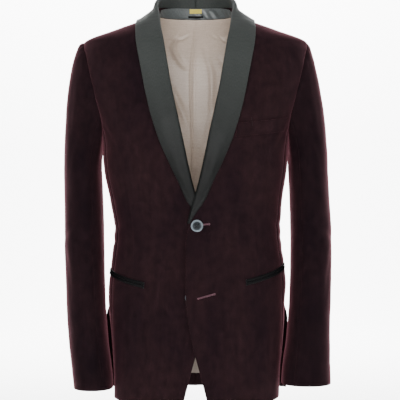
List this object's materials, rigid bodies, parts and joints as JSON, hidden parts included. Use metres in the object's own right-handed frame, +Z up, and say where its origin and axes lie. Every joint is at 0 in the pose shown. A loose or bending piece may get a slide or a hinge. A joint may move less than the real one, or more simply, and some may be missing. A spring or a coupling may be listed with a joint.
{
  "type": "velvet tuxedo jacket",
  "caption": "Hollow worn-form tuxedo jacket in velvet with a satin shawl collar, jetted hip pockets, breast welt, side vents, open neck, cuffs and hem",
  "frame": {"origin": "midway between the shoulders, at the height where the collar meets the shoulder line, where the wearer's neck and shoulders hold the jacket", "axes": "+Z up, the front faces -Y, +X is the wearer's left"},
  "size_m": [0.5057, 0.2469, 0.7869],
  "materials": {
    "velvet": "dark wine-brown cotton velvet with a pale sheen at grazing angles",
    "lapel_satin": "charcoal satin, soft gloss along the cloth",
    "black_satin": "black satin, glossy",
    "lining": "taupe satin lining, soft gloss",
    "label": "plain woven label in dull yellow, blank",
    "button": "polished blue-grey horn look"
  },
  "bodies": {
    "root": {"front_left": "velvet", "side_left": "velvet", "back_left": "velvet", "top_sleeve_left": "velvet", "under_sleeve_left": "velvet", "collar_left": "lapel_satin", "back_lining_left": "lining", "hip_jet_upper_left": "black_satin", "hip_jet_lower_left": "black_satin", "front_right": "velvet", "side_right": "velvet", "back_right": "velvet", "top_sleeve_right": "velvet", "under_sleeve_right": "velvet", "collar_right": "lapel_satin", "back_lining_right": "lining", "hip_jet_upper_right": "black_satin", "hip_jet_lower_right": "black_satin", "breast_welt": "velvet", "neck_band": "black_satin", "hanger_loop": "black_satin", "label_blank": "label", "button_upper": "button", "button_lower": "button"}
  },
  "joints": []
}
